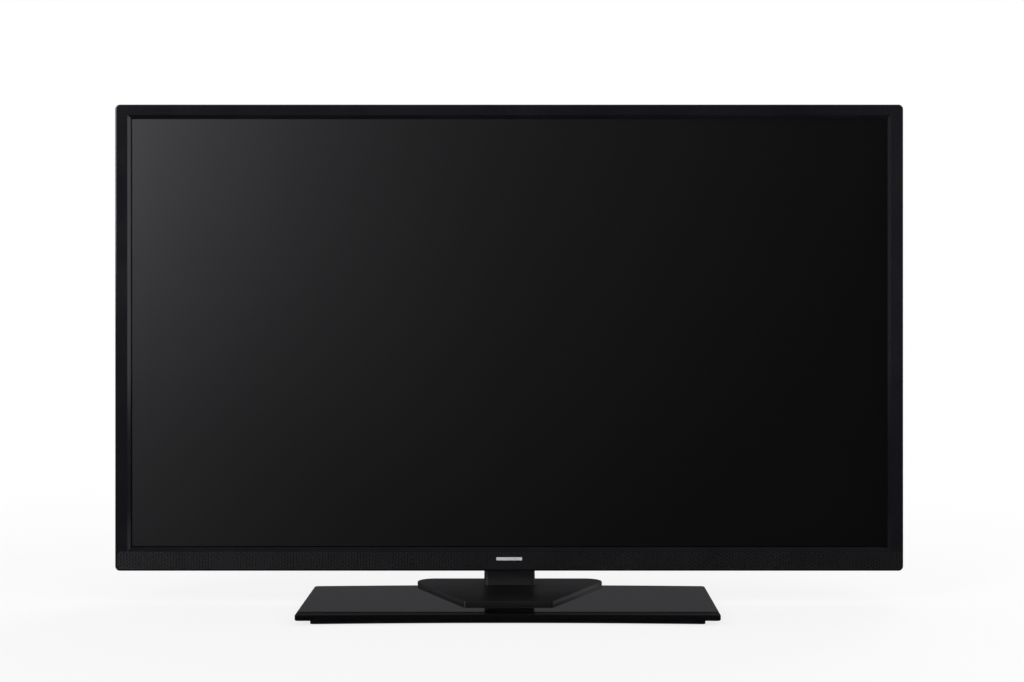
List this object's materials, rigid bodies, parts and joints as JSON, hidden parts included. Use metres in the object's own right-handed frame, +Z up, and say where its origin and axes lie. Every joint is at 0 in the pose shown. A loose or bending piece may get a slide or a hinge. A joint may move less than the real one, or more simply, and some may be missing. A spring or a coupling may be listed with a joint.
{
  "type": "flat screen television",
  "caption": "Flat screen television in a glossy black cabinet, on a short neck with a glass foot.",
  "frame": {"origin": "on the floor, under the middle of the whole part's box", "axes": "+X to the viewer's right as the screen is watched, +Y backwards away from the viewer, +Z up"},
  "size_m": [0.9186, 0.2213, 0.581],
  "materials": {
    "black_gloss": "glossy black moulding",
    "black_strip": "satin black, finely textured",
    "badge_metal": "satin metal bar",
    "cover_plastic": "fine grained black moulding",
    "screen_film": "low gloss black film",
    "cell_glass": "dark glass sandwich",
    "foam": "soft black seal",
    "white_plastic": "white moulding",
    "black_plastic": "black moulding",
    "clear_plastic": "clear moulding",
    "diffuser_white": "milky sheet",
    "zinc_steel": "zinc plated sheet",
    "screw_steel": "blackened steel",
    "brass_boss": "turned brass",
    "board_green": "green lacquered board",
    "board_white": "white coated metal core board",
    "film_amber": "amber film",
    "cable_white": "white flat cable",
    "black_aluminium": "black anodised",
    "socket_metal": "nickel plated shell",
    "transformer_tape": "yellow tape over copper",
    "capacitor_sleeve": "black sleeve",
    "wire_black": "insulated wire",
    "cone_paper": "pressed cone",
    "surround_rubber": "rubber roll",
    "foot_rubber": "rubber",
    "black_glass": "black tempered glass, polished",
    "satin_black": "satin black lacquer"
  },
  "bodies": {
    "television": {"front_bezel": "black_gloss", "grille_strip": "black_strip", "badge": "badge_metal", "front_gasket": "foam", "front_polarizer": "screen_film", "lcd_cell": "cell_glass", "cell_frame": "black_plastic", "optical_films": "diffuser_white", "diffuser_plate": "diffuser_white", "reflector_sheet": "white_plastic", "led_bars": "board_white", "led_lenses": "clear_plastic", "diffuser_posts": "white_plastic", "backlight_pan": "zinc_steel", "source_board": "board_green", "ribbon_films": "film_amber", "panel_cable": "cable_white", "receiver_board": "board_green", "rear_cover": "cover_plastic", "case_screws": "screw_steel", "mount_bosses": "brass_boss", "board_standoffs": "zinc_steel", "board_screws": "zinc_steel", "main_board": "board_green", "main_heatsink": "black_aluminium", "hdmi_sockets": "socket_metal", "usb_sockets": "socket_metal", "lan_socket": "black_plastic", "tuner_can": "socket_metal", "audio_jacks": "black_plastic", "card_slot": "socket_metal", "power_board": "board_green", "power_transformers": "transformer_tape", "power_capacitors": "capacitor_sleeve", "power_heatsinks": "black_aluminium", "mains_inlet": "black_plastic", "power_harness": "wire_black", "key_board": "board_green", "speaker_box_left": "black_plastic", "speaker_box_right": "black_plastic", "driver_basket_left": "screw_steel", "driver_basket_right": "screw_steel", "driver_surround_left": "surround_rubber", "driver_surround_right": "surround_rubber", "glass_base": "black_glass", "base_tray": "black_gloss", "rubber_feet": "foot_rubber", "stand_plate": "satin_black", "neck_cover": "black_gloss", "neck_core": "zinc_steel", "stand_bracket": "zinc_steel", "bracket_screws": "zinc_steel", "stand_screws": "screw_steel"},
    "key_power": {"key_power": "cover_plastic"},
    "key_channel_down": {"key_channel_down": "cover_plastic"},
    "key_channel_up": {"key_channel_up": "cover_plastic"},
    "key_volume_down": {"key_volume_down": "cover_plastic"},
    "key_volume_up": {"key_volume_up": "cover_plastic"},
    "driver_cone_left": {"driver_cone_left": "cone_paper"},
    "driver_cone_right": {"driver_cone_right": "cone_paper"}
  },
  "joints": [
    {"name": "key_power_press", "type": "slide", "parent": "television", "child": "key_power", "axis": [-1, 0, 0], "range_m": [0, 0.0005], "stiffness_N_per_m": 600, "springref_m": -0.0005},
    {"name": "key_channel_down_press", "type": "slide", "parent": "television", "child": "key_channel_down", "axis": [-1, 0, 0], "range_m": [0, 0.0005], "stiffness_N_per_m": 600, "springref_m": -0.0005},
    {"name": "key_channel_up_press", "type": "slide", "parent": "television", "child": "key_channel_up", "axis": [-1, 0, 0], "range_m": [0, 0.0005], "stiffness_N_per_m": 600, "springref_m": -0.0005},
    {"name": "key_volume_down_press", "type": "slide", "parent": "television", "child": "key_volume_down", "axis": [-1, 0, 0], "range_m": [0, 0.0005], "stiffness_N_per_m": 600, "springref_m": -0.0005},
    {"name": "key_volume_up_press", "type": "slide", "parent": "television", "child": "key_volume_up", "axis": [-1, 0, 0], "range_m": [0, 0.0005], "stiffness_N_per_m": 600, "springref_m": -0.0005},
    {"name": "cone_left", "type": "slide", "parent": "television", "child": "driver_cone_left", "axis": [0, 0, 1], "range_m": [-0.0015, 0.0015], "stiffness_N_per_m": 1500, "deforming": ["driver_surround_left"]},
    {"name": "cone_right", "type": "slide", "parent": "television", "child": "driver_cone_right", "axis": [0, 0, 1], "range_m": [-0.0015, 0.0015], "stiffness_N_per_m": 1500, "deforming": ["driver_surround_right"]}
  ]
}
